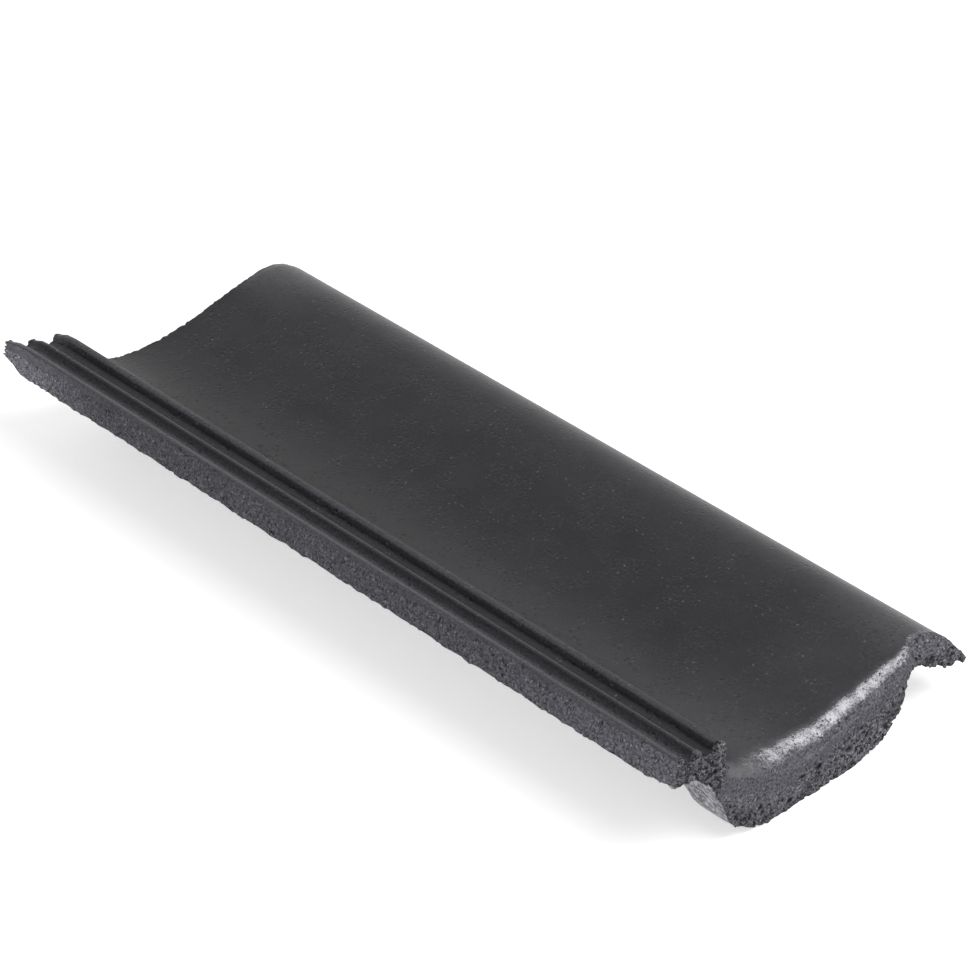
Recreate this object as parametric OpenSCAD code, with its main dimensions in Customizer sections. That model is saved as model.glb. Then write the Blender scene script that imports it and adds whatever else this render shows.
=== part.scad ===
// Concrete half roof tile of the double-S kind: one valley, one roll, a two-channel
// water lock along the left edge and a cover lip along the right edge.
// It is drawn in the laying frame, with X across the tile from the inner rib's crest,
// Y from the nose to the head and Z up, then rolled onto the underside of its foot.

/* [Tile] */
// Length from the nose to the head end
tile_length = 420; // [300:1:510]
// Width that one laid half tile covers
cover_width = 150; // [140:1:185]
// Thickness of the body, square to its surface
body_thickness = 12; // [9:0.5:15]

/* [Valley and roll] */
// Depth of the valley below the inner rib
valley_depth = 19.8; // [16:0.2:24]
// Distance from the inner rib to the valley's lowest line
valley_x = 39; // [34:0.5:44]
// Radius of the valley
valley_radius = 75; // [62:1:90]
// Height of the roll above the inner rib
roll_height = 14.6; // [12:0.2:17.6]
// Distance from the roll's top line to the edge of the covered width
roll_inset = 20; // [17:0.5:24]
// Radius of the roll
roll_radius = 27; // [22:0.5:33]
// Fall of the cover lip beyond the roll, in degrees
cover_fall = 38; // [32:1:44]

/* [Water lock] */
// Crest distance between the inner and the middle rib
inner_pitch = 13.5; // [12:0.25:16.25]
// Crest distance between the middle and the outer rib
outer_pitch = 10.7; // [9.5:0.1:13]
// Drop of the middle rib below the inner rib
middle_drop = 1; // [0:0.1:2]
// Drop of the outer rib below the inner rib
outer_drop = 1.8; // [0:0.1:3]
// Crest width of the inner rib
inner_rib_width = 3.8; // [3:0.1:4.6]
// Crest width of the middle rib
middle_rib_width = 2.2; // [1.8:0.1:2.7]
// Crest width of the outer rib
outer_rib_width = 3.4; // [2.8:0.1:4.2]
// Depth of the water channels below the lower crest beside them
channel_depth = 5; // [4:0.1:6]
// Height of the lock's outer wall
lock_height = 13.8; // [11:0.1:15]

/* [Cover lip] */
// Reach of the lip beyond the covered width
lip_reach = 6.6; // [5:0.1:8]
// Height of the lip's outer edge
lip_edge = 3; // [2.4:0.1:3.6]
// Clearance between the lip and the inner rib under it
lap_clearance = 1; // [0.6:0.1:1.4]
// Clearance between the lip and the middle rib
middle_clearance = 3.8; // [3:0.1:4.6]
// Clearance between the lip and the outer rib
outer_clearance = 7.3; // [6.5:0.1:8]
// Depth of the lip's two drip ribs
drip_depth = 1.8; // [1:0.1:2.2]
// Gap between the body's right flank and the next tile's outer wall
flank_gap = 7; // [5:0.25:9]

/* [Nose and foot] */
// Length over which the top rounds down to the nose
nose_length = 8; // [7:0.25:10]
// Drop of the top edge at the nose
nose_drop = 4.5; // [4:0.25:5.5]
// Depth of the foot's underside below the inner rib, on the valley's lowest line
foot_depth = 49; // [46:0.5:59]
// Rise of the foot's underside towards the roll, in degrees
foot_rise = 14; // [12:0.5:16.5]
// Distance by which the foot's left flank starts beyond the inner rib, under the lock
foot_flank_x = 4.3; // [3.6:0.1:5.2]
// Slope of the foot's left flank, in degrees
foot_flank_slope = 51; // [46:0.5:56]
// Radius between the lock's underside and the foot's left flank
foot_root_radius = 15; // [8:0.5:17]
// Radius between the foot's left flank and its sole
foot_left_radius = 24; // [20:1:34]
// Radius between the foot's sole and its right face
foot_right_radius = 32; // [20:1:38]
// Length of the foot behind the nose
foot_length = 32; // [26:1:39]
// Radius of the foot's rear edge
foot_rear_radius = 12; // [8:0.5:14.5]

/* [Weather bar] */
// Distance from the nose to the middle of the bar behind the foot
bar_y = 54; // [50:0.5:80]
// Thickness of the bar at its root
bar_thickness = 12; // [10:0.5:14]
// Depth of the bar below the body's underside
bar_depth = 6; // [4:0.25:7]
// Radius of the bar's lower edges
bar_radius = 2; // [1:0.25:2.5]
// Distance from the bar's right end to the body's right face
bar_inset = 5; // [4:0.5:12]

/* [Nib] */
// Distance from the inner rib to the middle of the nib
nib_x = 46; // [38:0.5:52]
// Distance from the head end to the nib's back
nib_inset = 2; // [1:0.5:20]
// Thickness of the nib along the tile
nib_thickness = 20; // [16:0.5:24]
// Width of the nib across the tile
nib_width = 34; // [28:1:41]
// Radius of the nib's lower edges
nib_radius = 4; // [2:0.5:6]
// Draft of the nib's sides and back and of the weather bar, in degrees
mould_draft = 8; // [3:0.5:10]

/* [Edges] */
// Radius of the outer wall's top and bottom edges
wall_radius = 1.4; // [1:0.1:1.7]
// Radius of the other crest edges of the outer and the middle rib
crest_radius = 0.9; // [0.5:0.1:1]
// Radius of the inner rib's crest edges
inner_crest_radius = 1.6; // [1:0.1:1.8]
// Largest radius in the floors of the water channels
channel_radius = 3; // [2:0.1:3.5]
// Radius between the inner rib and the valley
rib_root_radius = 4; // [3:0.1:5]
// Radius of the cover lip's edges
lip_radius = 0.9; // [0.5:0.1:1.1]
// Radius between the right face and the body's underside
flank_radius = 3; // [2:0.1:4]
// Radius between the lock's underside and the body's
lock_radius = 12; // [8:0.5:14]

/* [Hidden] */
$fn = 180;
overlap = 1;
sliver_lap = 0.05;
// Height by which a rounding's circle crosses the face it ends on, for a clean line there
crease = 0.1;
// Factor by which a rounded corner's circle crosses the two edges it ends on
crossing = 1.0003;
// Step between the straight and the curved stretches of the rounded nose
nose_step = 0.1;
steep_face = 78;
rib_face = 75;
drip_face = 66;
drip_gap = 1;
foot_lap = 4;
foot_inset = 0.6;
rib_foot_width = 6;
ramp_height = 2.7;
valley_left = inner_rib_width / 2 + rib_foot_width;

// Centres of the valley's and the roll's curves, and the slope of the flank that
// runs tangent to both
valley_centre = [valley_x, valley_radius - valley_depth];
roll_centre = [cover_width - roll_inset, roll_height - roll_radius];
centre_line = roll_centre - valley_centre;
flank_slope = atan2(centre_line[1], centre_line[0])
    + asin((valley_radius + roll_radius) / norm(centre_line));
flank_foot = valley_centre + valley_radius * unit(flank_slope - 90);
valley_left_slope = -asin((valley_x - valley_left) / valley_radius);
valley_left_point = valley_centre + valley_radius * unit(valley_left_slope - 90);
cover_top = roll_centre + roll_radius * unit(90 - cover_fall);

// Lock: crests of the three ribs and the level of the lock's underside
middle_x = -inner_pitch;
outer_x = -inner_pitch - outer_pitch;
wall_x = outer_x - outer_rib_width / 2;
lock_bottom = -outer_drop - lock_height;

// Lip: edge, clear level over the ribs, and the flank that faces the next tile
tip_x = cover_width + lip_reach;
tip_z = cover_top[1] - (tip_x - cover_top[0]) * tan(cover_fall);
right_face_x = cover_width + wall_x - flank_gap;
inner_rib_end = cover_width + inner_rib_width / 2 + lap_clearance;
middle_roof = middle_clearance - middle_drop;
outer_roof = outer_clearance - outer_drop;

// Underside of the body, parallel to its top, with a short ramp up to the lock
mid_radius = valley_radius + body_thickness / 2;
underside_radius = valley_radius + body_thickness;
underside_flank = flank_foot + body_thickness * unit(flank_slope - 90);
ramp_slope = -acos((valley_centre[1] - lock_bottom + ramp_height) / underside_radius);
ramp_foot = valley_centre + underside_radius * unit(ramp_slope - 90);

// Foot: its sole, and the level that the rolled tile stands on
sole_point = [valley_x, -foot_depth];
sole_level = foot_depth * cos(foot_rise) + valley_x * sin(foot_rise);

// Weather bar: its ends, as an angle about the valley's centre and a run up the flank
bar_left_angle = -90 - asin(valley_x / underside_radius);
bar_run = (right_face_x - bar_inset - underside_flank[0]) / cos(flank_slope);

// Nib: its lower right corner, its bearing face, and the depth at which its rounded
// lower right edge stands on the same level as the sole
nib_right = nib_x + nib_width / 2;
hang_length = tile_length - nib_inset - nib_thickness;
nib_edge = nib_right - nib_radius * tan(45 - mould_draft / 2);
nib_depth = nib_radius
    + (sole_level - nib_edge * sin(foot_rise) - nib_radius) / cos(foot_rise);

// Extent of the rolled tile, to put its origin under the middle of its box
left_extent = (wall_x + wall_radius) * cos(foot_rise)
    + (lock_bottom + wall_radius) * sin(foot_rise) - wall_radius;
tip_centre = [tip_x, tip_z] - lip_radius * [1, (1 - sin(cover_fall)) / cos(cover_fall)];
right_extent = tip_centre[0] * cos(foot_rise) + tip_centre[1] * sin(foot_rise) + lip_radius;

function unit(angle) = [cos(angle), sin(angle)];

// Point where the line through p at one angle meets the line through q at another
function meet(p, p_angle, q, q_angle) =
    let (apart = q - p, turn = sin(q_angle - p_angle))
    p + (apart[0] * sin(q_angle) - apart[1] * cos(q_angle)) / turn * unit(p_angle);

// The level half-way through the body's thickness, under the valley
function mid_level(x) = valley_centre[1] - sqrt(mid_radius ^ 2 - (x - valley_x) ^ 2);

// The two lower corners of a channel between two crest edges
function channel(left, right) =
    let (
        floor_z = min(left[1], right[1]) - channel_depth,
        left_x = left[0] + (left[1] - floor_z) / tan(steep_face),
        right_x = right[0] - (right[1] - floor_z) / tan(steep_face),
        radius = min(channel_radius, 0.5 * (right_x - left_x))
    )
    [[left_x, floor_z, radius], [right_x, floor_z, radius]];

// The four corners of a drip rib over the channel between two crest edges: the lip's
// underside is at right_z on the rib's right and at left_z on its left
function drip(left_x, right_x, left_z, right_z) =
    let (
        tip_z = min(left_z, right_z) - drip_depth,
        right = cover_width + right_x - drip_gap,
        left = cover_width + left_x + drip_gap
    )
    [
        [right, right_z, lip_radius],
        [right - (right_z - tip_z) / tan(drip_face), tip_z, lip_radius],
        [left + (left_z - tip_z) / tan(drip_face), tip_z, lip_radius],
        [left, left_z, lip_radius]
    ];

// Crest edges of the ribs
outer_edge = [outer_x + outer_rib_width / 2, -outer_drop];
middle_left = [middle_x - middle_rib_width / 2, -middle_drop];
middle_right = [middle_x + middle_rib_width / 2, -middle_drop];
inner_left = [-inner_rib_width / 2, 0];
inner_right = [inner_rib_width / 2, 0];

// Corners of the section, each with the radius that rounds it, from the outer wall
// over the top to the lip's edge
top_side = [
    [wall_x, lock_bottom, wall_radius],
    [wall_x, -outer_drop, wall_radius],
    [each outer_edge, crest_radius],
    each channel(outer_edge, middle_left),
    [each middle_left, crest_radius],
    [each middle_right, crest_radius],
    each channel(middle_right, inner_left),
    [each inner_left, inner_crest_radius],
    [each inner_right, inner_crest_radius],
    [each meet(inner_right, -rib_face, valley_left_point, valley_left_slope), rib_root_radius],
    [each meet(valley_left_point, valley_left_slope, flank_foot, flank_slope), valley_radius],
    [each meet(flank_foot, flank_slope, cover_top, -cover_fall), roll_radius],
    [tip_x, tip_z, lip_radius]
];

// ... and back along the lip's underside, the right face and the body's underside
underside = [
    [tip_x, tip_z - lip_edge, lip_radius],
    [inner_rib_end, tip_z - lip_edge, lip_radius],
    [inner_rib_end, lap_clearance, lip_radius],
    each drip(middle_right[0], inner_left[0], middle_roof, lap_clearance),
    each drip(outer_edge[0], middle_left[0], outer_roof, middle_roof),
    [right_face_x, outer_roof, flank_radius],
    [each meet([right_face_x, 0], 90, underside_flank, flank_slope), flank_radius],
    [each meet(underside_flank, flank_slope, ramp_foot, ramp_slope), underside_radius],
    [each meet([0, lock_bottom], 0, ramp_foot, ramp_slope), lock_radius]
];

// The same corners, in the order that runs counter-clockwise
function counter_clockwise(corners) =
    let (
        count = len(corners),
        crossed = [for (i = [0:count - 1]) let (p = corners[i], q = corners[(i + 1) % count])
            p[0] * q[1] - q[0] * p[1]],
        area = crossed * [for (c = crossed) 1]
    )
    area > 0 ? corners : [for (i = [1:count]) corners[count - i]];

// A polygon whose corners are rounded, each by its own radius: outer corners lose the
// sliver beyond their arc, and inner corners are filled with theirs
module rounded_outline(corners) {
    ring = counter_clockwise(corners);
    difference() {
        union() {
            polygon([for (p = ring) [p[0], p[1]]]);
            corner_slivers(ring, false);
        }
        corner_slivers(ring, true);
    }
}

// The slivers between the corners and their arcs, of the outer or of the inner corners
module corner_slivers(ring, outer) {
    count = len(ring);
    for (i = [0:count - 1]) {
        here = ring[i];
        before = ring[(i + count - 1) % count];
        after = ring[(i + 1) % count];
        p = [here[0], here[1]];
        back = [before[0], before[1]] - p;
        on = [after[0], after[1]] - p;
        convex = back[1] * on[0] - back[0] * on[1] > 0;
        if (here[2] > 0 && convex == outer)
            corner_sliver(p, back / norm(back), on / norm(on), here[2], convex);
    }
}

// One sliver: p is the corner, and back and on point along its two edges
module corner_sliver(p, back, on, radius, convex) {
    half = acos(back * on) / 2;
    mid = (back + on) / norm(back + on);
    reach = radius / tan(half);
    ends = [p + reach * back, p + reach * on];
    difference() {
        polygon([ends[convex ? 0 : 1], p - sliver_lap * mid, ends[convex ? 1 : 0]]);
        translate(p + radius / sin(half) * mid) circle(r = radius * crossing);
    }
}

// A section stood up and extruded along the tile
module along_tile(from_y, to_y) {
    translate([0, to_y, 0]) rotate([90, 0, 0]) linear_extrude(to_y - from_y) children();
}

// A side outline, with Y across the page, stood up and extruded across the tile
module across_tile(from_x, to_x) {
    translate([from_x, 0, 0]) rotate([90, 0, 90]) linear_extrude(to_x - from_x) children();
}

// The body, from end to end, with the same section
module body() {
    along_tile(0, tile_length) rounded_outline(concat(top_side, underside));
}

// The thick foot under the nose: its section follows the floor it lies on, and its
// rear edge is rounded
module foot() {
    flank_start = [-foot_flank_x, lock_bottom + foot_inset];
    sole_left = meet(flank_start, -foot_flank_slope, sole_point, foot_rise);
    face_x = right_face_x - foot_inset;
    sole_right = meet([face_x, 0], 90, sole_point, foot_rise);
    flank_mid = flank_foot + body_thickness / 2 * unit(flank_slope - 90);
    left_mid = valley_centre + mid_radius * unit(valley_left_slope - 90);
    section = [
        [-inner_pitch, lock_bottom + foot_lap, 0],
        [-inner_pitch, lock_bottom + foot_inset, 0],
        [each flank_start, foot_root_radius],
        [each sole_left, foot_left_radius],
        [each sole_right, foot_right_radius],
        [each meet([face_x, 0], 90, flank_mid, flank_slope), 0],
        [each flank_mid, 0],
        [valley_x, mid_level(valley_x), 0],
        [each left_mid, 0],
        [0, lock_bottom + foot_lap, 0]
    ];
    difference() {
        along_tile(0, foot_length) rounded_outline(section);
        foot_rear();
    }
}

// What is cut from the foot's rear lower edge to round it, lying along the sole
module foot_rear() {
    r = foot_rear_radius;
    across = 2 * cover_width;
    translate([valley_x, foot_length, -foot_depth]) rotate([0, -foot_rise, 0])
    across_tile(-across / 2, across / 2)
    difference() {
        translate([-r, -overlap]) square(r + overlap);
        translate([-r, r]) circle(r = r + crease);
    }
}

// The bar behind the foot that keeps driven rain out: its profile, turned round the
// valley and drawn straight along the flank
module weather_bar() {
    sweep(valley_centre, underside_radius, bar_left_angle, flank_slope - 90, 1)
        bar_profile();
    straight(underside_flank, bar_run, flank_slope) bar_profile();
}

// The bar's profile: how far it hangs below the underside (x) at each place along (y)
module bar_profile() {
    root = bar_thickness / 2 + overlap * tan(mould_draft);
    edge = bar_thickness / 2 - bar_depth * tan(mould_draft);
    rounded_outline([
        [-overlap, bar_y - root, 0],
        [bar_depth, bar_y - edge, bar_radius],
        [bar_depth, bar_y + edge, bar_radius],
        [-overlap, bar_y + root, 0]
    ]);
}

// The nib that hooks over the batten, under the valley at the head: its outline from
// the front, crossed with its outline from the side
module nib() {
    nib_left = nib_right - nib_width;
    left_lean = (nib_depth + mid_level(nib_left)) * tan(mould_draft);
    right_lean = (nib_depth + mid_level(nib_right)) * tan(mould_draft);
    back_lean = nib_depth * tan(mould_draft);
    intersection() {
        along_tile(hang_length - overlap, tile_length) rounded_outline([
            [nib_left - left_lean, mid_level(nib_left), 0],
            [nib_left, -nib_depth, nib_radius],
            [nib_right, -nib_depth, nib_radius],
            [nib_right + right_lean, mid_level(nib_right), 0]
        ]);
        across_tile(nib_left - back_lean, nib_right + back_lean) rounded_outline([
            [hang_length, 0, 0],
            [hang_length, -nib_depth, nib_radius],
            [hang_length + nib_thickness - back_lean, -nib_depth, nib_radius],
            [hang_length + nib_thickness, 0, 0]
        ]);
    }
}

// What rounds the top edge down to the nose: the edge's own profile, turned round the
// valley and the roll and drawn straight along the flank and the cover
module nose_rounding() {
    radius = (nose_length ^ 2 + nose_drop ^ 2) / (2 * nose_drop);
    flank = flank_foot - roll_centre - roll_radius * unit(flank_slope + 90);
    sweep(valley_centre, valley_radius, valley_left_slope - 90, flank_slope - 90, 1)
        edge_profile(radius);
    sweep(roll_centre, roll_radius, flank_slope + 90, 90 - cover_fall, -1)
        edge_profile(radius);
    straight(flank_foot, norm(flank), flank_slope) edge_profile(radius);
    straight(cover_top, 2 * lip_reach + roll_inset, -cover_fall) edge_profile(radius);
}

// The nose's edge in outline: how far it has dropped (x) at each place along the tile (y)
module edge_profile(radius) {
    difference() {
        translate([-overlap, -overlap])
            square([nose_drop + overlap, nose_length + overlap]);
        translate([radius - crease, nose_length]) circle(r = radius);
    }
}

// An edge profile turned about a centre, dropping away from it (side 1) or to it (-1)
module sweep(centre, radius, from_angle, to_angle, side) {
    first = min(from_angle, to_angle);
    translate([centre[0], 0, centre[1]]) rotate([90, 0, 0]) rotate([0, 0, first])
    rotate_extrude(angle = abs(to_angle - from_angle))
    translate([radius, 0]) scale([side, -1]) children();
}

// An edge profile drawn along a straight stretch that leaves a point at a slope; it
// lies a hair higher than the curved stretches and laps into them
module straight(from, run, slope) {
    translate([from[0], 0, from[1]]) rotate([0, -slope, 0])
    translate([-overlap / 2, 0, nose_step]) rotate([0, 90, 0])
    linear_extrude(run + overlap) children();
}

// The whole tile, rolled onto its foot's sole, with its box's middle over the origin
module roof_tile() {
    color([0.25, 0.25, 0.27])
    translate([-(left_extent + right_extent) / 2, -tile_length / 2, sole_level])
    rotate([0, foot_rise, 0])
    difference() {
        union() {
            body();
            foot();
            weather_bar();
            nib();
        }
        nose_rounding();
    }
}

roof_tile();
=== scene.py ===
# %% [markdown]
# A narrow concrete roof tile, cast in one piece. The CAD frame gives its exact shape.
# This script gives it what casting and handling add: a satin coat on the top, open
# rough concrete on the cut ends and the outer wall, and a pale nose, partly worn paste
# and partly a painted highlight, with more painted light and shade in the colours.
# Everything is measured in millimetres here and turned into Blender's metres with MM.

# %% Load the frame
import math

import bmesh
import bpy
import numpy as np
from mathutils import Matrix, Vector, noise


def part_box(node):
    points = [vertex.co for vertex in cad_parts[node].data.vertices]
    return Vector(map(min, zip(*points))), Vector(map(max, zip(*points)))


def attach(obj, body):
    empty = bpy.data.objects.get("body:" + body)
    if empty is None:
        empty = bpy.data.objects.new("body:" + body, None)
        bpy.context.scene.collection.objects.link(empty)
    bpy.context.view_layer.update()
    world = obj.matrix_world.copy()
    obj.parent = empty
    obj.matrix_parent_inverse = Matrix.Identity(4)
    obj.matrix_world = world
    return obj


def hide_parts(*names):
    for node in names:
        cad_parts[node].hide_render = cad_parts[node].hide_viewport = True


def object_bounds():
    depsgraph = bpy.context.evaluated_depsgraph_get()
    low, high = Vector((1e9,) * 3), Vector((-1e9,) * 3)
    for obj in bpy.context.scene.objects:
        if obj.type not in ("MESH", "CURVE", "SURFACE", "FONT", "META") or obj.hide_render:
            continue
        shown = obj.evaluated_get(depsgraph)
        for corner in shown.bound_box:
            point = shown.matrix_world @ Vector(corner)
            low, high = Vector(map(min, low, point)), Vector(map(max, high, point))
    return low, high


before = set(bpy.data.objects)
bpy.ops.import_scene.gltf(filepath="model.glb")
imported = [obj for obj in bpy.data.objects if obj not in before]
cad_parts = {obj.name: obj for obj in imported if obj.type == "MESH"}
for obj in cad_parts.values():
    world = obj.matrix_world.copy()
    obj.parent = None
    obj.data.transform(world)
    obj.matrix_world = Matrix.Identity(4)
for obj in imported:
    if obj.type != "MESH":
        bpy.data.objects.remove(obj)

MM = 0.001
CAD_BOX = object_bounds()
print("CAD box", [[round(c / MM, 2) for c in corner] for corner in CAD_BOX])

# %% [markdown]
# The tile lies rolled by 14 degrees, on the sole of its thick foot. Every region of it
# is easier to name as on a roof, so these helpers turn places and directions back: x
# runs across from the crest of the inner rib, z up from it, and y from the nose. The
# mesh itself could be turned too, but then its place in the frame would be lost.

# %% Turn frame coordinates into roof coordinates
ROLL = math.radians(14)
CREST = (-61.7615 * MM, 56.9794 * MM)
NOSE_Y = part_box("roof_tile")[0].y
HEAD_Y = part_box("roof_tile")[1].y


def on_roof(co):
    """Columns x, y, z in millimetres on the roof, for an array of frame points."""
    dx, dz = co[:, 0] - CREST[0], co[:, 2] - CREST[1]
    x = dx * math.cos(ROLL) - dz * math.sin(ROLL)
    z = dx * math.sin(ROLL) + dz * math.cos(ROLL)
    return np.stack([x, co[:, 1] - NOSE_Y, z], 1) / MM


def roof_direction(n):
    """A frame direction, turned to roof axes."""
    x = n.x * math.cos(ROLL) - n.z * math.sin(ROLL)
    z = n.x * math.sin(ROLL) + n.z * math.cos(ROLL)
    return Vector((x, n.y, z))


def to_frame(points):
    """The way back, for an array of roof points in millimetres."""
    p = points * MM
    x = p[:, 0] * math.cos(ROLL) + p[:, 2] * math.sin(ROLL) + CREST[0]
    z = -p[:, 0] * math.sin(ROLL) + p[:, 2] * math.cos(ROLL) + CREST[1]
    return np.stack([x, p[:, 1] + NOSE_Y, z], 1)


print("nose at", round(NOSE_Y / MM, 1), "head at", round(HEAD_Y / MM, 1))

# %% [markdown]
# The camera stands in front and to the left of the tile, about a metre over it. Its
# lens is long, because that keeps the tile's edges almost parallel, as a catalogue
# shows a product. A short lens closer by would fill the frame too, but the nose would
# look much bigger than the head.

# %% Set the camera
CAMERA_PLACE = (-0.940895, -0.999005, 0.992135)
VIEW_DIRECTION = Vector((0.567066, 0.596951, -0.567525))
SENSOR = 36
FOCAL_IN_SENSORS = 3795 / 970

camera = bpy.data.objects.new("camera", bpy.data.cameras.new("camera"))
bpy.context.collection.objects.link(camera)
camera.location = CAMERA_PLACE
camera.rotation_euler = VIEW_DIRECTION.to_track_quat("-Z", "Y").to_euler()
camera.data.sensor_width = SENSOR
camera.data.lens = FOCAL_IN_SENSORS * SENSOR
camera.data.clip_end = 20
bpy.context.scene.camera = camera
print("lens", round(camera.data.lens, 1), "mm")

# %% [markdown]
# The looks need a much finer mesh than the CAD one, because pores, grains and chipped
# edges are real dents here. A bump map alone would leave every outline ruled. So a copy
# of the CAD mesh is merged, its flat faces are joined, and each face is marked with the
# region that it belongs to, by where it is and which way it faces.

# %% Copy the casting and mark its regions
COAT, FRONT, HEAD, WALL, UNDER = range(5)
MERGE = 0.002 * MM
FLAT_WITHIN = math.radians(0.4)
ALONG_AXIS = 0.9
END_DEPTH = 0.5
TOP_FACING = 0.1
WALL_X = -24
BELOW_LOCK = (3, -12)

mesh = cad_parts["roof_tile"].data.copy()
mesh.name = "tile_casting"
bm = bmesh.new()
bm.from_mesh(mesh)
bmesh.ops.remove_doubles(bm, verts=bm.verts, dist=MERGE)
bmesh.ops.dissolve_limit(bm, angle_limit=FLAT_WITHIN, verts=bm.verts, edges=bm.edges)
region = bm.faces.layers.int.new("region")
for face in bm.faces:
    n = roof_direction(face.normal)
    centre = on_roof(np.array([face.calc_center_median()]))[0]
    under_lock = centre[0] < BELOW_LOCK[0] and centre[2] < BELOW_LOCK[1]
    if n.y < -ALONG_AXIS and centre[1] < END_DEPTH:
        face[region] = FRONT
    elif n.y > ALONG_AXIS and centre[1] > (HEAD_Y - NOSE_Y) / MM - END_DEPTH:
        face[region] = HEAD
    elif n.x < -ALONG_AXIS and centre[0] < WALL_X:
        face[region] = WALL
    elif n.z > TOP_FACING and not under_lock:
        face[region] = COAT
    else:
        face[region] = UNDER
print("casting:", len(bm.faces), "faces")

# %% [markdown]
# Cutting by planes refines the mesh without moving it. Subdividing would do it too, but
# it cuts every face alike, also where the tile is plain. The planes are close together
# at the nose, the head and on the rough faces, and wider apart between them.

# %% Refine the mesh with cutting planes
WALL_STEP, LEVEL_STEP, ACROSS_STEP = 1.6 * MM, 1.0 * MM, 1.25 * MM
NOSE_STEPS = (0.6 * MM, 0.9 * MM)
BODY_STEPS = (1.2 * MM, 5 * MM)
HEAD_CUTS = (3, 2, 1.2, 0.6)


def slice_mesh(regions, normal, places):
    """Cuts the faces of these regions, or of all, by planes across the normal."""
    for place in places:
        faces = bm.faces[:]
        geom = bm.verts[:] + bm.edges[:] + faces
        if regions:
            faces = [f for f in faces if f[region] in regions]
            edges = {e for f in faces for e in f.edges}
            geom = list(edges | {v for f in faces for v in f.verts}) + faces
        bmesh.ops.bisect_plane(
            bm, geom=geom, plane_co=Vector(normal) * place, plane_no=normal, dist=1e-7
        )


def steps(start, stop, first, last, growth=1.15):
    """Places from start to stop, whose spacing grows from first to last."""
    places, gap = [start], first
    while places[-1] + gap < stop:
        places.append(places[-1] + gap)
        gap = min(gap * growth, last)
    return places


slice_mesh({WALL}, (0, 1, 0), np.arange(NOSE_Y + 10 * MM, HEAD_Y, WALL_STEP))
levels = np.arange(CAD_BOX[0][2] + 0.6 * MM, CAD_BOX[1][2], LEVEL_STEP)
slice_mesh({FRONT, HEAD, WALL}, (0, 0, 1), levels)
slice_mesh(None, (1, 0, 0), np.arange(CAD_BOX[0][0] + 1 * MM, CAD_BOX[1][0], ACROSS_STEP))
along = steps(NOSE_Y + 0.5 * MM, NOSE_Y + 10 * MM, *NOSE_STEPS)
along += steps(NOSE_Y + 11 * MM, HEAD_Y - 4 * MM, *BODY_STEPS)
along += [HEAD_Y - d * MM for d in HEAD_CUTS]
slice_mesh(None, (0, 1, 0), along)
print("refined:", len(bm.faces), "faces")

# %% [markdown]
# The CAD mesh shows its curves as flat strips. The new points between the strips are
# moved out to the true curves: the valley, the roll, the underside, and the quarter
# round of the nose. Smooth shading alone would hide the strips on the top, but not
# where the roll meets the floor behind it.

# %% Describe the true curves
VALLEY, VALLEY_R = np.array([39.0, 55.2]), 75.0
CROWN, CROWN_R = np.array([130.0, -12.4]), 27.0
THICKNESS = 12.0
BETWEEN = CROWN - VALLEY
FLANK = math.atan2(BETWEEN[1], BETWEEN[0]) + math.asin((VALLEY_R + CROWN_R) / np.hypot(*BETWEEN))
FLANK_START = VALLEY + VALLEY_R * np.array([math.sin(FLANK), -math.cos(FLANK)])
FLANK_END = CROWN + CROWN_R * np.array([-math.sin(FLANK), math.cos(FLANK)])
NOSE_LENGTH, NOSE_DROP, NOSE_CROSSING = 8.0, 4.5, 0.1
NOSE_R = (NOSE_LENGTH**2 + NOSE_DROP**2) / (2 * NOSE_DROP)


def nose_drop(y):
    """How far the top has dropped at each distance from the nose."""
    left = np.clip(NOSE_LENGTH - y, 0, NOSE_LENGTH)
    return np.maximum(NOSE_R - NOSE_CROSSING - np.sqrt(NOSE_R**2 - left**2), 0)


def top_level(x):
    """The level of the smooth top at each place across, from the valley to the crown."""
    valley = VALLEY[1] - np.sqrt(np.maximum(VALLEY_R**2 - (x - VALLEY[0]) ** 2, 0))
    crown = CROWN[1] + np.sqrt(np.maximum(CROWN_R**2 - (x - CROWN[0]) ** 2, 0))
    flank = FLANK_START[1] + (x - FLANK_START[0]) * math.tan(FLANK)
    return np.where(x < FLANK_START[0], valley, np.where(x < FLANK_END[0], flank, crown))


print("nose radius", round(NOSE_R, 2), "flank at", round(math.degrees(FLANK), 1), "degrees")

# %% [markdown]
# A point moves only if it lies within SNAP of its circle, in the stretch where that circle
# is the surface, so the ribs keep their shape. The CAD's circles are a hair larger than
# their plain radii, so that they cross the edges they end on. CURVE_GAIN repeats that.

# %% Move the points onto the true curves
CURVE_GAIN = 1.0003
SNAP = 0.25
VALLEY_FROM, CROWN_TO = 8.5, 146.5
UNDER_FROM, UNDER_TO = -9, 79


def snap_round(p, centre, target):
    """Moves points that lie near a circle of the target radius onto it."""
    arm = p[:, [0, 2]] - centre
    distance = np.linalg.norm(arm, axis=1)
    near = np.abs(distance - target) < SNAP
    moved = centre + arm * (target / distance)[:, None]
    p[near, 0], p[near, 2] = moved[near, 0], moved[near, 1]
    return int(near.sum())


def touches(wanted):
    """For each point, whether it lies on a face of this region."""
    return np.array([any(f[region] == wanted for f in v.link_faces) for v in bm.verts])


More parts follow.
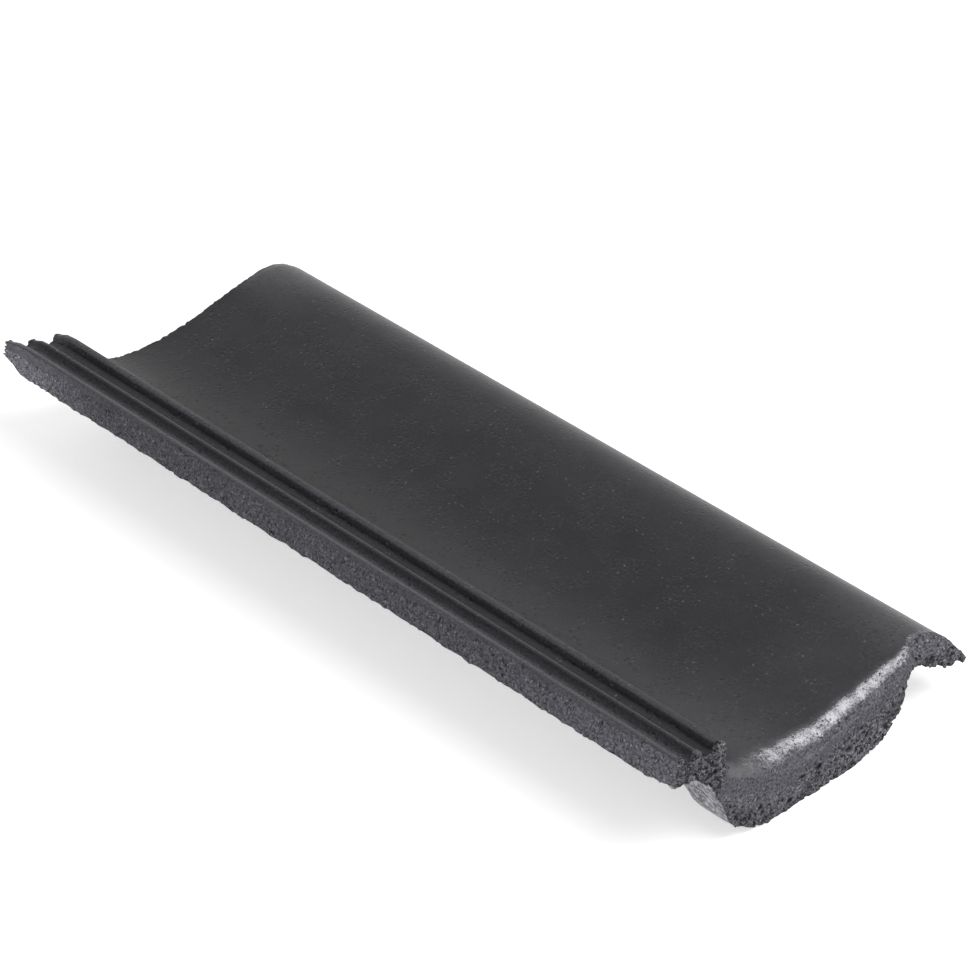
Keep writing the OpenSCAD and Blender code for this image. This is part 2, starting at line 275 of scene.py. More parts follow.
bm.verts.ensure_lookup_table()
p = on_roof(np.array([v.co for v in bm.verts]))
drop = nose_drop(p[:, 1])
on_coat, on_under = touches(COAT), touches(UNDER)
across_valley = (p[:, 0] > VALLEY_FROM) & (p[:, 0] < FLANK_START[0])
across_crown = (p[:, 0] > FLANK_END[0]) & (p[:, 0] < CROWN_TO)
across_under = (p[:, 0] > UNDER_FROM) & (p[:, 0] < UNDER_TO)
underside = np.full_like(drop, (VALLEY_R + THICKNESS) * CURVE_GAIN)
counts = []
for chosen, centre, target in (
    (on_coat & across_valley, VALLEY, VALLEY_R * CURVE_GAIN + drop),
    (on_coat & across_crown, CROWN, CROWN_R * CURVE_GAIN - drop),
    (on_under & across_under, VALLEY, underside),
):
    part = p[chosen]
    counts.append(snap_round(part, centre, target[chosen]))
    p[chosen] = part
print("points moved onto the valley, the crown and the underside:", counts)

# %% [markdown]
# The straight flank between the two circles has the round nose too, so its points drop
# by as much, measured square to the slope. Points that the moves brought together are
# merged again, because a face with no area has no direction to be shaded by.

# %% Move the flank's round nose and write the points back
flank_level = top_level(p[:, 0]) - drop / math.cos(FLANK)
on_flank = on_coat & (p[:, 0] > FLANK_START[0] - 0.1) & (p[:, 0] < FLANK_END[0] + 0.1)
on_flank &= (drop > 0) & (np.abs(flank_level - p[:, 2]) < SNAP)
p[on_flank, 2] = flank_level[on_flank]
for vertex, new_place in zip(bm.verts, to_frame(p)):
    vertex.co = new_place
bmesh.ops.remove_doubles(bm, verts=bm.verts, dist=0.03 * MM)
bmesh.ops.dissolve_degenerate(bm, edges=bm.edges, dist=0.01 * MM)
bm.verts.ensure_lookup_table()
p = on_roof(np.array([v.co for v in bm.verts]))
print("points on the flank's nose:", int(on_flank.sum()), "of", len(p))

# %% [markdown]
# The mould gives the top a dense skin, and everything else tears as the tile is cut
# and turned out. So each point gets marks, which the dents and the finish both read.
# Painting them by hand would work once, but formulas on x, y and z follow the tile's
# own features. The first marks are coat, from 1 on the top to 0 on torn concrete; torn,
# how far the break may move a point; and pale, on the smooth side below. The trowel
# also pulls the coat a little way down the outer wall.

# %% Mark the coat, the torn concrete and the pale side
TROWEL_LEVEL, TROWEL_DIP, TROWEL_WAVE = -3.6, 3.0, 1.1
LIP_END_X, LIP_END_Y = (116, 121), (9.5, 6.5)
RIB_END_X, RIB_END_Y = (8, 3), (3.5, 1.5)
VALLEY_RIM_X, FLANK_RIM_X, RIM_Y = (7, 12), (24, 38), (3.6, 0.8)
LIP_UNDER_X, LIP_UNDER_Y = (108, 112), (16, 6)
WALL_EDGE_Z, WALL_EDGE_TORN = -14.4, 1.25


def share(vertex, regions):
    """The share of the faces at a point that belong to these regions."""
    return sum(f[region] in regions for f in vertex.link_faces) / len(vertex.link_faces)


def fade(values, start, stop):
    """0 before start, 1 after stop and smooth between; start may be the larger one."""
    t = np.clip((values - start) / (stop - start), 0, 1)
    return t * t * (3 - 2 * t)


x, y, z = p.T
to_head = (HEAD_Y - NOSE_Y) / MM - y
coat = np.array([share(v, {COAT}) for v in bm.verts])
torn = np.array([share(v, {FRONT, HEAD, WALL}) for v in bm.verts])
pale = np.array([share(v, {UNDER}) for v in bm.verts])
on_coat, on_wall, on_front = coat > 0, touches(WALL), touches(FRONT)
pale *= 1 - fade(x, *LIP_UNDER_X) * fade(y, *LIP_UNDER_Y)
trowelled = TROWEL_LEVEL - TROWEL_DIP * fade(to_head, 90, 5)
trowelled += TROWEL_WAVE * np.sin(y / 9.0) * np.sin(y / 23.0 + 1)
coat = np.maximum(coat, fade(z, trowelled - 1, trowelled + 1) * on_wall)
lip_torn = fade(x, *LIP_END_X) * fade(y, *LIP_END_Y)
rib_torn = fade(x, *RIB_END_X) * fade(y, *RIB_END_Y)
rim_torn = (0.35 * fade(x, *VALLEY_RIM_X) + 0.55 * fade(x, *FLANK_RIM_X)) * fade(y, *RIM_Y)
end_torn = np.maximum(np.maximum(lip_torn, rib_torn), rim_torn) * (coat > 0)
coat *= 1 - end_torn
torn = np.maximum(torn, 0.8 * end_torn)
torn = np.where(on_wall & (z < WALL_EDGE_Z), WALL_EDGE_TORN, torn)
print("torn points:", int((torn > 0.5).sum()), "of", len(p))

# %% [markdown]
# Coarse says how open the torn texture is. Under the nose it is fine, as if pressed, and
# it opens towards the sole. It is coarsest at the end of the lock, and the end of the
# lip comes near that. The long wall is fine all over.

# %% Mark how coarse the torn texture is
CALM_FROM, CALM_TO, CALM_DEPTH = 6, 116, 12
LOCK_COARSE, WALL_COARSE = 1.4, 0.45

below_nose = top_level(x) - NOSE_DROP - z
calm = (x > CALM_FROM) & (x < CALM_TO) & (on_front | (y < CALM_DEPTH))
calm_coarse = 0.3 + 0.9 * fade(below_nose, 5, 15)
lip_coarse = 0.7 + 0.5 * fade(below_nose, -1, 3)
coarse = np.where(calm, calm_coarse, np.where(x < CALM_FROM, LOCK_COARSE, lip_coarse))
coarse = np.where(on_wall, WALL_COARSE, coarse)
print("coarse from", coarse.min().round(2), "to", coarse.max().round(2))

# %% [markdown]
# The round of the nose is pale in a band: partly paste worn bare where tiles slide on
# one another, partly a painted highlight of the light on the rounded edge. The band's
# middle, width and strength change across the tile, so they are read from short tables,
# and a few sines keep its edges from looking ruled.

# %% Mark the worn, highlighted band along the nose
BAND_X = (20, 36, 52, 75, 105, 116, 123, 150)
BAND_MIDDLE = (6.4, 7.0, 7.5, 5.6, 4.7, 4.3, 9.0, 9.0)
BAND_HALF = (4.0, 4.0, 3.3, 2.5, 2.1, 1.8, 1.5, 1.3)
PEAK_X = (15, 24, 36, 50, 64, 80, 112, 119, 138, 152)
BAND_PEAK = (0, 0.3, 0.55, 0.85, 1.05, 1.0, 0.9, 0.5, 0.35, 0)
NEAR_SIDE = 0.75
RIM_WEAR_HIGHLIGHT = 0.4

middle = np.interp(x, BAND_X, BAND_MIDDLE)
middle += 0.22 * np.sin(x / 4.1) + 0.3 * np.sin(x / 1.7 + 2)
half = np.interp(x, BAND_X, BAND_HALF)
peak = np.interp(x, PEAK_X, BAND_PEAK)
peak *= 0.9 + 0.12 * np.sin(x / 3.1 + 1) + 0.08 * np.sin(x / 1.3)
off_middle = np.where(y < middle, NEAR_SIDE, 1) * np.abs(y - middle)
wear_and_highlight = peak * fade(off_middle, 1.8 * half, 0.2 * half) * on_coat
# The band's painted highlight runs on over the front's top rim.
front_rim_highlight = RIM_WEAR_HIGHLIGHT * peak * fade(below_nose, 6, 1) * on_front
wear_and_highlight = np.maximum(wear_and_highlight, front_rim_highlight)
print("worn points:", int((wear_and_highlight > 0.3).sum()))

# %% [markdown]
# The rub mark is painted sheen and light, which lifts the coat's grey: a painted
# highlight round the band, painted sheen at the nose's left end, along its front edge and
# along the roll, painted light low in the lock's outer channel, and painted light near
# the nose. Each place is a product of fades, and the strongest one at a point counts.

# %% Mark the painted sheen and light on the coat
LEFT_END_X, LEFT_END_Y = (48, 28), (13, 1.5)
SHELF_Z, SHELF_FROM, SHELF_TO = (-2.8, -4.8), (-14, -15.5), (-23, -21)
ROLL_X = (98, 124)
ROLL_SHEEN, HEAD_SHEEN, NOSE_SHEEN = 0.12, 0.4, 0.25
HIGHLIGHT_HALO, SHELF_PAINTED_LIGHT, NOSE_PAINTED_LIGHT = 0.75, 0.28, 0.13

# Painted highlight round the band, and painted sheen at the nose's left end and front edge.
highlight_halo = peak * fade(np.abs(y - middle), 2.9 * half, 0.6 * half)
left_end_sheen = fade(y, *LEFT_END_Y) ** 2 * fade(x, *LEFT_END_X)
painted_sheen_light = np.maximum(left_end_sheen, fade(y, 4.5, 1.5)) * fade(x, 5, 12)
painted_sheen_light = np.maximum(painted_sheen_light, HIGHLIGHT_HALO * highlight_halo) * on_coat
# Painted light low in the lock's outer channel.
shelf_painted_light = SHELF_PAINTED_LIGHT * fade(z, *SHELF_Z) * fade(x, *SHELF_FROM) * fade(x, *SHELF_TO)
painted_sheen_light = np.maximum(painted_sheen_light, shelf_painted_light)
# Painted sheen along the roll, stronger towards the head and the nose.
sheen = ROLL_SHEEN + HEAD_SHEEN * fade(to_head, 55, 0) + NOSE_SHEEN * fade(y, 70, 10)
painted_sheen_light = np.maximum(painted_sheen_light, sheen * fade(x, *ROLL_X) * on_coat)
# Painted light on the coat near the nose.
painted_sheen_light = np.maximum(painted_sheen_light, NOSE_PAINTED_LIGHT * fade(y, 90, 22) * fade(x, 5, 9) * on_coat)
print("dulled points:", int((painted_sheen_light > 0.3).sum()))

# %% [markdown]
# Lock is where the coat is thin and sandy, over the ribs and in the channels; low in the
# outer channel it also carries painted light, and on the crests of the middle and outer
# ribs it is cut back as painted shade. The bright mark is painted light and shade that
# scales the finished colour: the wall is lighter towards both ends and a little darker
# near its top, and the valley is a shade darker towards the head. Lamps could do that
# too, but they would light the rest of the tile with it.

# %% Mark the lock's thin coat and the painted light and shade
CREST_Z = (-2.4, -1.0)
LOCK_THINNING = ((0.15, 0, -4), (0.45, -8, -14), (0.4, -19, -22))
INNER_CREST, OUTER_FLOOR_PAINTED_LIGHT = 0.75, 0.45
WALL_HEAD_PAINTED_LIGHT = ((0, 15, 35, 60), (1.3, 1.1, 0.55, 0))
WALL_NOSE_PAINTED_LIGHT = ((0, 20, 64, 120), (0.45, 0.35, 0.2, 0))
WALL_TOP_PAINTED_SHADE, VALLEY_PAINTED_SHADE = 0.06, 0.5

crest = fade(z, *CREST_Z)
lock = sum(amount * fade(x, start, stop) for amount, start, stop in LOCK_THINNING)
# Cut back on the crests of the middle and outer ribs, as painted shade.
lock *= 1 - 0.8 * crest * fade(x, -9, -11)
lock += INNER_CREST * crest * fade(x, -0.4, -1.6) * fade(x, -7, -5)
# Painted light low in the outer channel.
lock += OUTER_FLOOR_PAINTED_LIGHT * fade(z, -2.6, -4.4) * fade(x, -13, -15) * fade(x, -23, -21)
# Painted light: the wall lighter towards both ends; painted shade a little darker near its top.
painted_light_shade = np.interp(to_head, *WALL_HEAD_PAINTED_LIGHT) + np.interp(y, *WALL_NOSE_PAINTED_LIGHT)
painted_light_shade -= WALL_TOP_PAINTED_SHADE * fade(z, -10, -6.5)
# Painted shade: the valley a shade darker towards the head.
valley_head_painted_shade = fade(x, 4, 10) * fade(x, 72, 34) * fade(y, 60, 260)
painted_light_shade = np.where(on_wall, painted_light_shade, -VALLEY_PAINTED_SHADE * valley_head_painted_shade * on_coat)
print("lock up to", lock.max().round(2), "bright up to", painted_light_shade.max().round(2))

# %% [markdown]
# Torn concrete has three scales: a slow waviness of the break, grains of sand, and
# pores and larger holes between them. Noise at each scale pushes a point in along its
# normal, most on the torn faces and a little just round their edges, so the outline is
# chipped too. Sculpting by hand would be freer, but it couldn't be repeated exactly.

# %% Tear the rough faces
WAVE_SIZE, GRAIN_SIZE, PORE_SIZE, HOLE_SIZE, PATCH_SIZE = 8.0, 1.5, 2.4, 5.5, 13
DEEPEST, HIGHEST = -2.4, 1.2
HOLE_DEPTH = 2.6


def layered_noise(points, scale, octaves, seed):
    """Layered noise between about -1 and 1, for points in millimetres."""
    shift = Vector((seed * 17.3, seed * 5.1, seed * 11.7))
    return np.array([noise.fractal(Vector(q) / scale + shift, 0.6, 2.1, octaves) for q in points])


def pits(points, scale, size, seed, limit=0.3):
    """Round pits, 1 at the middle of each and 0 outside, in some cells of the noise."""
    shift = Vector((seed * 3.7, seed * 13.1, seed * 7.9))
    depth = []
    for q in points:
        distances, centres = noise.voronoi(Vector(q) / scale + shift)
        chosen = noise.cell(centres[0] * 7.7) > limit
        depth.append(max(0.0, 1 - distances[0] / size) if chosen else 0.0)
    return np.array(depth)


near_end = np.maximum(fade(y, 3.5, 0.3), fade(to_head, 3.0, 0.3)) * fade(x, 160, 152)
amount = np.maximum(torn, near_end * (1 - coat)) + 0.12 * near_end * coat
moving = np.nonzero(amount > 0.01)[0]
open_front = np.nonzero(on_front & (coarse > 0.5))[0]
coarse[open_front] += 0.5 * layered_noise(p[open_front], PATCH_SIZE, 2, 7)
q = p[moving]
wave = layered_noise(q, WAVE_SIZE, 3, 1)
grain = layered_noise(q, GRAIN_SIZE, 2, 2)
pore = pits(q, PORE_SIZE, 0.5, 3)
hole = pits(q, HOLE_SIZE, 0.42, 5, 0.35) * fade(coarse[moving], 0.7, 1.1)
push = np.clip(0.4 - 0.6 * wave - 0.5 * grain - 1.8 * pore, DEEPEST, HIGHEST)
push = (push - HOLE_DEPTH * hole) * (0.35 + 0.65 * coarse[moving])
bm.normal_update()
normals = np.array([roof_direction(bm.verts[i].normal) for i in moving])
p[moving] += normals * (push * amount[moving])[:, None]
pit = np.zeros(len(p))
pit[moving] = np.maximum(pore, hole) * amount[moving] * fade(coarse[moving], 0.2, 0.9)
print("torn by up to", round(float(-push.min()), 2), "mm")

# %% [markdown]
# The outer wall's lower edge is ragged along its whole length. At the head the cutter
# drags the ribs out further than the rest and rounds their tips. These are moves of
# whole zones: x, y and z are views of the point array, so each move reads the places
# that the last one left.

# %% Break the wall's lower edge and drag the head end
DRAG = (
    (7.0, (-17.5, -23.5), None),  # the outer rib and the wall
    (3.4, (-7, -11), (-23.5, -17.5)),  # the middle of the lock
    (2.2, (-11, -7), (10, 5)),  # the inner rib
    (1.5, (34, 50), (84, 66)),  # the valley's right side
)
WALL_FOOT_X, WALL_FOOT_Z = (-17, -23), (-11.5, -15)

edge = fade(z, *WALL_FOOT_Z) * fade(x, *WALL_FOOT_X)
low = np.nonzero(edge > 0)[0]
ragged_line = layered_noise(p[low] * (0.35, 1, 0.35), 3.2, 4, 4)
p[low, 2] -= edge[low] * np.clip(0.2 + 0.65 * ragged_line, -0.6, 1.2)
drag = np.zeros(len(p))
for reach, start, stop in DRAG:
    drag += reach * fade(x, *start) * (fade(x, *stop) if stop else 1)
p[:, 1] += drag * fade(to_head, 14, 0) * (1 + 0.12 * np.sin(z * 2.1))
p[:, 2] -= 2.3 * fade(x, 8, 5) * fade(to_head, 7, 0) * fade(z, -10, -1)
p[:, 2] -= 0.9 * fade(x, 105, 120) * fade(to_head, 4.5, 0) * fade(top_level(x) - z, 5, 0)
print("dragged out by up to", drag.max().round(1), "mm")

# %% [markdown]
# Corners chip first. The wall has lost its lower corner at the head, the lock its lower
# corner at the nose, and the foot the edge of its sole. Cutting pieces off would leave
# sharp new edges, so the corners are pressed up instead, most at the tip and less round
# it. The foot's rear left corner is no chip: the real foot is rounder there than the
# CAD's, so REAR_CHIP presses it up by up to 6 mm in the same way.

# %% Press up the corners of the wall, the lock and the foot
WALL_CHIP, LOCK_CHIP = 4.2, 2.6
SOLE_X = (14, 18, 22, 32, 42, 90, 97, 104, 108)
SOLE_CHIP = (0, 1.5, 2.1, 1.9, 0, 0, 2.1, 1.2, 0)
REAR_Y = (20.5, 23, 25, 27, 32)
REAR_CHIP = (0, 1, 3, 4.8, 6)

whole = p[:, 2].copy()
p[:, 2] += WALL_CHIP * fade(z, -7, -15) * fade(x, *WALL_FOOT_X) * fade(to_head, 12, 0)
p[:, 2] += LOCK_CHIP * fade(z, -8.5, -15) * fade(x, 4, -3) * fade(y, 12, 0)
above_floor = (to_frame(p)[:, 2] - CAD_BOX[0][2]) / MM
sole_chip = np.interp(x, SOLE_X, SOLE_CHIP)
p[:, 2] += sole_chip * fade(above_floor, 13.5, 3) * fade(y, 6, 0)
rear_chip = np.interp(y, REAR_Y, REAR_CHIP) * fade(y, 37, 32.5)
p[:, 2] += rear_chip * fade(x, 44, 28) * fade(above_floor, 26, 11) * ~on_coat
print("corners pressed up by up to", (p[:, 2] - whole).max().round(1), "mm")

# %% [markdown]
# The nose's round runs out at the cover lip, whose end keeps most of its height. So the
# drop is given back to it, more to its top than to its underside, and its tip reaches
# out a little.

# %% Shape the end of the cover lip
LIP_X, TIP_X = 146.6, (148, 156)
LIP_EDGE_Z, LIP_SLOPE = 8.9, 0.78

lip_level = np.where(x < LIP_X, top_level(x), LIP_EDGE_Z - LIP_SLOPE * (x - LIP_X))
lip_level = lip_level - nose_drop(y)
near_top = fade(lip_level - z, np.interp(x, [136, 150], [5, 2]), 0)
p[:, 2] += nose_drop(y) * fade(x, 121, 136) * (0.1 + 0.6 * near_top)
p[:, 0] += 1.5 * fade(x, *TIP_X) * fade(y, 12, 0)
print("lip reaches x", x.max().round(1), "mm")

# %% [markdown]
# The points go back to the mesh, none of them below the floor, and the marks become
# attributes on the points, which the material can read. The finished casting rides on
# the root body, in place of the plain CAD node.

# %% Write the points and the marks to the mesh
SHARP_FROM = math.radians(50)

places = to_frame(p)
places[:, 2] = np.maximum(places[:, 2], CAD_BOX[0][2])
for vertex, place in zip(bm.verts, places):
    vertex.co = place
bm.to_mesh(mesh)
bm.free()
marks = {"coat": coat, "wear_and_highlight": wear_and_highlight, "painted_sheen_light": painted_sheen_light, "lock": lock, "pale": pale}
marks.update({"pit": pit, "coarse": coarse, "painted_light_shade": painted_light_shade})
for name, values in marks.items():
    attribute = mesh.attributes.new(name, "FLOAT", "POINT")
    attribute.data.foreach_set("value", values.astype(np.float32))
mesh.shade_smooth()
mesh.set_sharp_from_angle(angle=SHARP_FROM)
casting = bpy.data.objects.new("tile_casting", mesh)
bpy.context.collection.objects.link(casting)
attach(casting, "root")
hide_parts("roof_tile")
mesh.calc_loop_triangles()
print("casting:", len(mesh.loop_triangles), "triangles")

# %% [markdown]
# One material holds the three finishes, because they run into one another on the real
# tile. Three materials on separate faces would meet along ruled lines. Small helpers
# keep the node tree readable.

# %% Start the concrete's material
concrete = bpy.data.materials.new("coated_concrete")
concrete.use_nodes = True
tree = concrete.node_tree
tree.nodes.clear()


def node(kind, inputs=(), **settings):
    """A node of this kind with its settings, and values or links on its inputs."""
    made = tree.nodes.new(kind)
    for name, value in settings.items():
        setattr(made, name, value)
    for key, value in dict(inputs).items():
        if isinstance(value, bpy.types.NodeSocket):
            tree.links.new(value, made.inputs[key])
        else:
            made.inputs[key].default_value = value
    return made


def mix(amount, a, b):
    """A colour between a and b."""
    return node("ShaderNodeMix", {0: amount, 6: a, 7: b}, data_type="RGBA").outputs[2]


def blend(amount, a, b):
    """A value between a and b."""
    return node("ShaderNodeMix", {0: amount, 2: a, 3: b}, data_type="FLOAT").outputs[0]


def calc(operation, a, b=0.0):
    """The result of one sum on two values."""
    return node("ShaderNodeMath", {0: a, 1: b}, operation=operation).outputs[0]


def ramp(value, low, high, to_low=0.0, to_high=1.0):
    """A value mapped smoothly from one range to another."""
    inputs = {0: value, 1: low, 2: high, 3: to_low, 4: to_high}
    return node("ShaderNodeMapRange", inputs, interpolation_type="SMOOTHSTEP").outputs[0]


def mark(name):
    """The value of one of the marks on the points."""
    return node("ShaderNodeAttribute", attribute_name=name).outputs["Fac"]


def grey(value, cool=1.0):
    """A grey of this value, with the slight blue of the pigment."""
    red, green, blue = 1 - 0.01 * cool, 1 - 0.022 * cool, 1 + 0.05 * cool
    return (value * red, value * green, value * blue, 1)


print("a middle grey is", [round(c, 3) for c in grey(0.2)])

# %% [markdown]
# Two patterns do most of the work. Cloudy noise makes blotches and grains, and a cell
# pattern makes separate spots. The cells are read at slightly bent places, because
# straight ones give spots that are too round and too regular for sand.

# %% Make the noise and the spots
BEND = 1.6 * MM

place = node("ShaderNodeTexCoord").outputs["Object"]


def noise_at(size_mm, detail=3.0, roughness=0.55):
    """Noise whose blobs are about this size on the tile."""
    inputs = {"Vector": place, "Scale": 1 / (size_mm * MM), "Detail": detail}
    inputs["Roughness"] = roughness
    return node("ShaderNodeTexNoise", inputs).outputs["Fac"]


def vector(operation, inputs):
    """The result of one sum on vectors or colours."""
    return node("ShaderNodeVectorMath", inputs, operation=operation).outputs[0]


drift = node("ShaderNodeTexNoise", {"Vector": place, "Scale": 1 / BEND, "Detail": 2.0})
drift = vector("SUBTRACT", {0: drift.outputs["Color"], 1: (0.5, 0.5, 0.5)})
bent = vector("ADD", {0: place, 1: vector("SCALE", {0: drift, 3: BEND})})


def cells(size_mm, share_used, radius_from, radius_to):
    """Small round spots in a share of the cells of a cell pattern of this size."""
    made = node("ShaderNodeTexVoronoi", {"Vector": bent, "Scale": 1 / (size_mm * MM)})
    picked = node("ShaderNodeSeparateColor", {0: made.outputs["Color"]}).outputs[0]
    used = calc("GREATER_THAN", picked, 1 - share_used)
    spot = ramp(made.outputs["Distance"], radius_from, radius_to, 1.0, 0.0)
    return calc("MULTIPLY", spot, used)


print("pattern nodes:", len(tree.nodes))

# %% [markdown]
# The skin is a dark, satin acrylic coat. It is nearly even, with a faint cloudiness,
# tiny pinholes where air came through, dimples in clusters whose hollows are darkened as
# painted shade, a few grains that show lighter, and now and then a faint hairline. Over
# the lock the sand shows through, and where the rub mark lies the grey lifts with painted
# sheen and light.

# %% Colour the coat
COAT_DARK, COAT_LIGHT, COAT_MOTTLE = grey(0.011, 2.5), grey(0.017, 2.5), grey(0.032, 2.5)
SAND_DARK, SAND_LIGHT = grey(0.03, 2), grey(0.085, 2)
SHEEN_LIGHT_GREY, SPECK, PINHOLE = grey(0.115), grey(0.15), grey(0.005)

cluster = ramp(noise_at(14, 3), 0.4, 0.62)
coat_grey = mix(ramp(noise_at(22, 4), 0.3, 0.7), COAT_DARK, COAT_LIGHT)
mottle = calc("MULTIPLY", ramp(noise_at(1.3, 3, 0.65), 0.5, 0.66), blend(cluster, 0.25, 0.85))
coat_grey = mix(mottle, coat_grey, COAT_MOTTLE)
sandy = mix(ramp(noise_at(0.9, 3, 0.7), 0.35, 0.65), SAND_DARK, SAND_LIGHT)
coat_grey = mix(mark("lock"), coat_grey, sandy)
# The rub mark lifts the grey towards SHEEN_LIGHT_GREY as painted sheen and painted light.
sheen_light_amount = calc("MULTIPLY", mark("painted_sheen_light"), ramp(noise_at(3, 3), 0.3, 0.7, 0.8, 1.15))
coat_grey = mix(sheen_light_amount, coat_grey, SHEEN_LIGHT_GREY)
pinhole = cells(3.6, 0.3, 0.04, 0.18)
speck = calc("MULTIPLY", cells(2.3, 0.22, 0.04, 0.3), blend(cluster, 0.25, 1.0))
dimple = calc("MULTIPLY", cells(2.5, 0.45, 0.08, 0.45), cluster)
line = calc("ABSOLUTE", calc("SUBTRACT", noise_at(17, 2), 0.5))
hairline = calc("MULTIPLY", ramp(line, 0.0, 0.012, 1, 0), ramp(noise_at(12, 2), 0.56, 0.62))
# Dimples darken the colour here as painted shade in their hollows; hairlines are dark cracks.
faint = calc("MAXIMUM", calc("MULTIPLY", hairline, 0.4), calc("MULTIPLY", dimple, 0.5))
coat_colour = mix(calc("MULTIPLY", speck, 0.7), coat_grey, SPECK)
coat_colour = mix(calc("MAXIMUM", pinhole, faint), coat_colour, PINHOLE)
print("coat:", len(tree.nodes), "nodes so far")

# %% [markdown]
# Torn concrete is a mid grey paste with lighter grains of sand and black pores. Its
# grains and pores grow with the coarse mark, and the pits of the mesh are filled with
# black, since hardly any light gets out of them.

# %% Colour the torn concrete
PASTE_DARK, PASTE_FINE, PASTE_COARSE = grey(0.045, 2), grey(0.185, 2), grey(0.31, 1.5)
BLOTCH, SAND, PORE, DEEP = grey(0.11, 2), grey(0.45), grey(0.008), grey(0.04)

grains = noise_at(1.1, 3, 0.75)
gaps = noise_at(1.9, 4, 0.65)
light_grain = mix(ramp(mark("coarse"), 0.3, 1.2), PASTE_FINE, PASTE_COARSE)
torn_colour = mix(ramp(grains, 0.36, 0.66), PASTE_DARK, light_grain)
torn_colour = mix(ramp(noise_at(9, 3), 0.3, 0.75, 0, 0.3), torn_colour, BLOTCH)
sand = calc("MULTIPLY", cells(1.7, 0.3, 0.15, 0.42), ramp(mark("coarse"), 0.2, 1.2, 0.3, 0.9))
torn_colour = mix(sand, torn_colour, SAND)
gap_limit = ramp(mark("coarse"), 0.2, 1.4, 0.37, 0.46)
small_pore = ramp(calc("SUBTRACT", gap_limit, gaps), -0.01, 0.05)
black = calc("MAXIMUM", small_pore, ramp(mark("pit"), 0.12, 0.5))
torn_colour = mix(calc("MULTIPLY", black, 0.92), torn_colour, PORE)
torn_colour = mix(ramp(mark("coarse"), 1.2, 1.4, 0, 0.3), torn_colour, DEEP)
print("torn concrete:", len(tree.nodes), "nodes so far")

# %% [markdown]
# The side that lay on the mould's pallet is smoother and paler, in soft streaks; its
# near-white streaks are partly painted light of the floor's bounce. The worn paste of
# the nose, with its painted highlight, is the palest of all, with a few dark pores in it.

# %% Colour the pallet side, with painted bounce light, and the worn, highlighted paste
PALE_DARK, PALE_LIGHT_AND_BOUNCE, PALE_PORE = grey(0.28), grey(0.92), grey(0.1)
WORN_HIGHLIGHT_TOP, WORN_HIGHLIGHT_FRONT, WORN_PORE = grey(0.72), grey(0.5), grey(0.06)

# Pallet-side streaks, raised near white as painted light of the floor's bounce.
pale_and_bounce_colour = mix(ramp(noise_at(2.5, 4, 0.65), 0.3, 0.68), PALE_DARK, PALE_LIGHT_AND_BOUNCE)
pale_and_bounce_colour = mix(calc("MULTIPLY", small_pore, 0.45), pale_and_bounce_colour, PALE_PORE)
worn_gap = ramp(calc("SUBTRACT", 0.42, gaps), -0.01, 0.05, 0, 0.8)
# The band's pale colour is worn paste and painted highlight together.
worn_highlight_colour = mix(worn_gap, WORN_HIGHLIGHT_TOP, WORN_PORE)
print("pale concrete:", len(tree.nodes), "nodes so far")

# %% [markdown]
# The masks follow the marks on the points, with noise on their edges so that no border
# is ruled. The worn, highlighted band is dusty and patchy, and it leaves the pinholes
# and some spots of the coat dark, because they lie too low to be touched.

# %% Mask the finishes
ragged = calc("MULTIPLY", calc("SUBTRACT", noise_at(1.6, 3), 0.5), 0.9)
coat_mask = ramp(calc("ADD", mark("coat"), ragged), 0.42, 0.62)
pale_mask = ramp(calc("ADD", mark("pale"), ragged), 0.4, 0.7)
dust = noise_at(0.8, 3, 0.75)
dust_part = calc("MULTIPLY", calc("SUBTRACT", dust, 0.5), 1.9)
patchy = calc("MULTIPLY", calc("SUBTRACT", noise_at(5, 2), 0.5), mark("wear_and_highlight"))
missed = calc("MULTIPLY", cells(2.2, 0.3, 0.1, 0.42), 0.8)
wear_highlight_amount = calc("ADD", calc("MULTIPLY", mark("wear_and_highlight"), 0.78), dust_part)
wear_highlight_amount = calc("ADD", wear_highlight_amount, patchy)
wear_highlight_amount = calc("SUBTRACT", wear_highlight_amount, calc("MULTIPLY", pinhole, 1.5))
wear_highlight_amount = calc("SUBTRACT", wear_highlight_amount, missed)
wear_highlight_mask = calc("MULTIPLY", ramp(wear_highlight_amount, 0.1, 0.95), ramp(mark("wear_and_highlight"), 0.0, 0.5))
print("masks:", len(tree.nodes), "nodes so far")

# %% [markdown]
# The finishes are laid over one another in the order in which they came about: torn
# concrete, the pale side, the coat, and the worn band with its painted highlight. The
# finest grain is a bump, because a mesh fine enough for it would have far too many faces.

# %% Join the finishes
GRAIN_DEPTH = 0.5 * MM
COAT_ROUGH, WORN_ROUGH, TORN_ROUGH = 0.38, 0.6, 0.88

# The band's painted highlight and worn paste reach the front's rim.
torn_colour = mix(calc("MULTIPLY", wear_highlight_mask, 0.7), torn_colour, WORN_HIGHLIGHT_FRONT)
bare = mix(pale_mask, torn_colour, pale_and_bounce_colour)
top_colour = mix(wear_highlight_mask, coat_colour, worn_highlight_colour)
